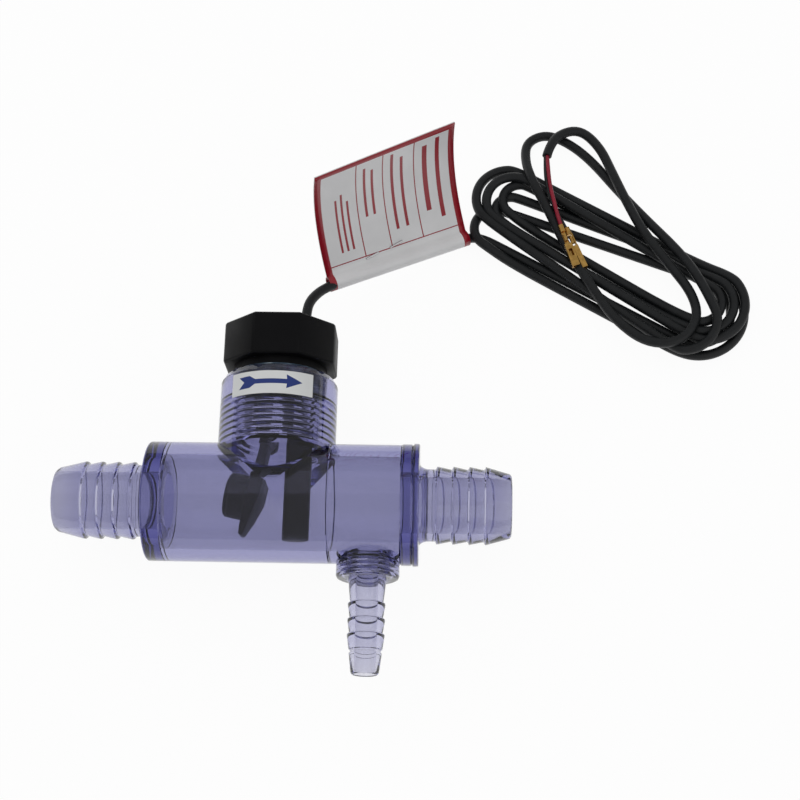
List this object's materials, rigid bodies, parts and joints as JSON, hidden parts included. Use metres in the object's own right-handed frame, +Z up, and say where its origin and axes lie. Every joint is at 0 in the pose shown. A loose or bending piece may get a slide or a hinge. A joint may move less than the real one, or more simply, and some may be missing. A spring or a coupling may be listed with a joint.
{
  "type": "paddle flow switch",
  "caption": "Clear tee with hose barbs and a drain branch, a hinged magnetic paddle and a screwed-in reed switch head with a coiled, tagged cable.",
  "frame": {"origin": "on the table under the middle of the switch without its cable: half way between the two main hose ends, and half way between the head's end and the drain's tip", "axes": "+X along the flow, from the inlet to the outlet; +Y from the drain branch towards the switch head; +Z up from the table that the switch lies on"},
  "size_m": [0.2011, 0.1714, 0.0487],
  "materials": {
    "clear_pvc": "clear, faintly blue, smooth moulded",
    "clear_barb": "clear, faintly blue, smooth turned",
    "black_moulding": "black moulded plastic with a faint sheen",
    "potting_resin": "black epoxy, slightly domed",
    "stainless_pin": "ground stainless wire",
    "paddle_plastic": "dark grey moulded plastic",
    "magnet_ferrite": "sintered ferrite",
    "reed_glass": "clear greenish glass",
    "reed_metal": "plated nickel-iron wire",
    "red_insulation": "red PVC insulation",
    "black_insulation": "black PVC insulation",
    "label_vinyl": "satin printed vinyl, blue arrow on off-white",
    "cable_jacket": "satin black cable jacket",
    "terminal_brass": "gold-flashed stamped metal",
    "tag_paper": "laminated paper, red border and rules on white",
    "staple_wire": "bright wire"
  },
  "bodies": {
    "housing": {"switch_tee": "clear_pvc", "drain_section": "clear_pvc", "inlet_barb": "clear_barb", "outlet_barb": "clear_barb", "drain_barb": "clear_barb", "switch_body": "black_moulding", "cable_potting": "potting_resin", "hinge_pin": "stainless_pin", "bias_magnet": "magnet_ferrite", "reed_capsule": "reed_glass", "reed_blades": "reed_metal", "red_inner_lead": "red_insulation", "black_inner_lead": "black_insulation", "flow_arrow_label": "label_vinyl", "cable_lead": "cable_jacket", "cable_hank": "cable_jacket", "red_conductor": "red_insulation", "black_conductor": "black_insulation", "red_terminal": "terminal_brass", "black_terminal": "terminal_brass", "cable_tag": "tag_paper", "tag_staples": "staple_wire"},
    "paddle": {"paddle": "paddle_plastic", "magnet_cap": "paddle_plastic", "paddle_magnet": "magnet_ferrite"}
  },
  "joints": [
    {"name": "paddle_hinge", "type": "hinge", "parent": "housing", "child": "paddle", "pos_m": [-0.0053, 0.0155, 0.0171], "axis": [0, 0, 1], "range_deg": [0, 19.5], "stiffness_Nm_per_rad": 0.002}
  ]
}
